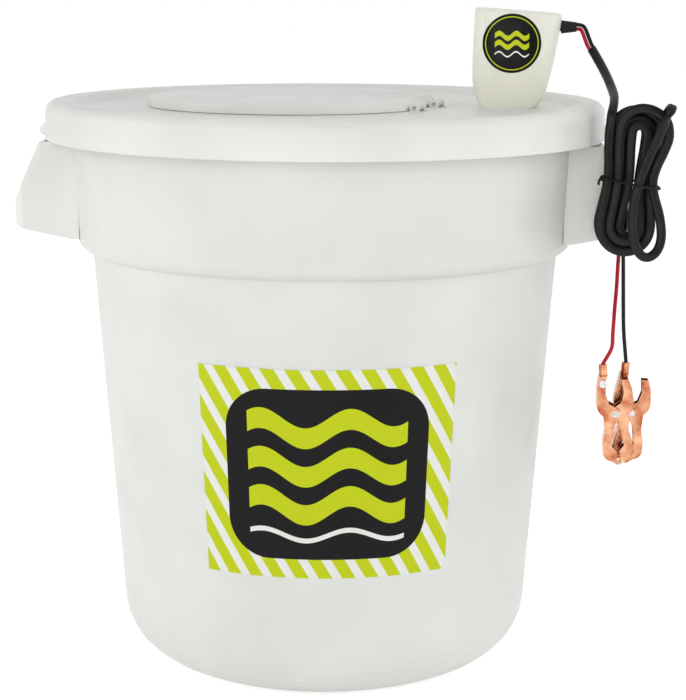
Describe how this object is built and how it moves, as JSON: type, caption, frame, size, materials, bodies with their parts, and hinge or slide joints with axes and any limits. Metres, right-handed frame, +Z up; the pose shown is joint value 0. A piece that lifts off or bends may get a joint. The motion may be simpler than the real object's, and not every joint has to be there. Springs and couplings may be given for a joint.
{
  "type": "aerated bait bucket",
  "caption": "Lidded round bait bucket with hood handles, a hinged access door, and a battery-powered aerator pump on the lid with its cord and two clips.",
  "frame": {"origin": "middle of the flat base of the bucket, on the surface it stands on, under the bucket's axis", "axes": "+Z up along the bucket's axis, +X towards the handle beside the aerator pump, -Y towards the side with the label"},
  "size_m": [0.4778, 0.4192, 0.4934],
  "materials": {
    "natural_plastic": "satin, slightly translucent",
    "ivory_plastic": "satin",
    "dark_plastic": "matte",
    "label_film": "satin film",
    "sticker_film": "satin film",
    "steel": "bright",
    "black_rubber": "satin",
    "seal_rubber": "matte",
    "black_jacket": "satin",
    "red_jacket": "satin",
    "copper_plate": "bright copper plate on steel"
  },
  "bodies": {
    "bucket": {"bucket": "natural_plastic", "front_label": "label_film"},
    "lid": {"lid": "natural_plastic", "door_hinge_pins": "steel", "pump_housing": "ivory_plastic", "pump_cap": "ivory_plastic", "pump_label": "sticker_film", "cap_screws": "steel", "motor_can": "steel", "motor_end_bell": "dark_plastic", "drop_tube": "natural_plastic", "tube_locknut": "dark_plastic", "lid_gasket": "seal_rubber", "shaft_seal": "seal_rubber", "lower_bearing": "dark_plastic", "pump_volute": "dark_plastic", "intake_strainer": "dark_plastic", "strain_relief": "black_rubber", "motor_lead_red": "red_jacket", "motor_lead_black": "black_jacket", "cord_drop": "black_jacket", "cord_hank": "black_jacket", "hank_tie": "black_rubber", "battery_lead_red": "red_jacket", "battery_lead_black": "black_jacket", "red_clip_base": "copper_plate", "red_clip_rivet": "steel", "red_clip_spring": "steel", "red_clip_screw": "steel", "black_clip_base": "copper_plate", "black_clip_rivet": "steel", "black_clip_spring": "steel", "black_clip_screw": "steel"},
    "door": {"access_door": "natural_plastic"},
    "rotor": {"motor_shaft": "steel", "shaft_coupling": "dark_plastic", "drive_shaft": "steel", "impeller": "dark_plastic"},
    "red_jaw": {"red_clip_jaw": "copper_plate"},
    "black_jaw": {"black_clip_jaw": "copper_plate"}
  },
  "joints": [
    {"name": "lid_lift", "type": "slide", "parent": "bucket", "child": "lid", "axis": [0, 0, 1], "range_m": [0, 0.375]},
    {"name": "door_hinge", "type": "hinge", "parent": "lid", "child": "door", "pos_m": [0.07728, -0.02558, 0.4226], "axis": [0.2924, 0.9563, 0], "range_deg": [0, 95]},
    {"name": "shaft_spin", "type": "hinge", "parent": "lid", "child": "rotor", "pos_m": [0.135, 0, 0.25], "axis": [0, 0, 1], "continuous": true},
    {"name": "red_clip_hinge", "type": "hinge", "parent": "lid", "child": "red_jaw", "pos_m": [0.217, -0.0875, 0.207], "axis": [0, -1, 0], "range_deg": [0, 28], "stiffness_Nm_per_rad": 0.15, "springref_deg": -45.84, "deforming": ["red_clip_spring"]},
    {"name": "black_clip_hinge", "type": "hinge", "parent": "lid", "child": "black_jaw", "pos_m": [0.2295, -0.0695, 0.204], "axis": [0, -1, 0], "range_deg": [0, 28], "stiffness_Nm_per_rad": 0.15, "springref_deg": -45.84, "deforming": ["black_clip_spring"]}
  ]
}
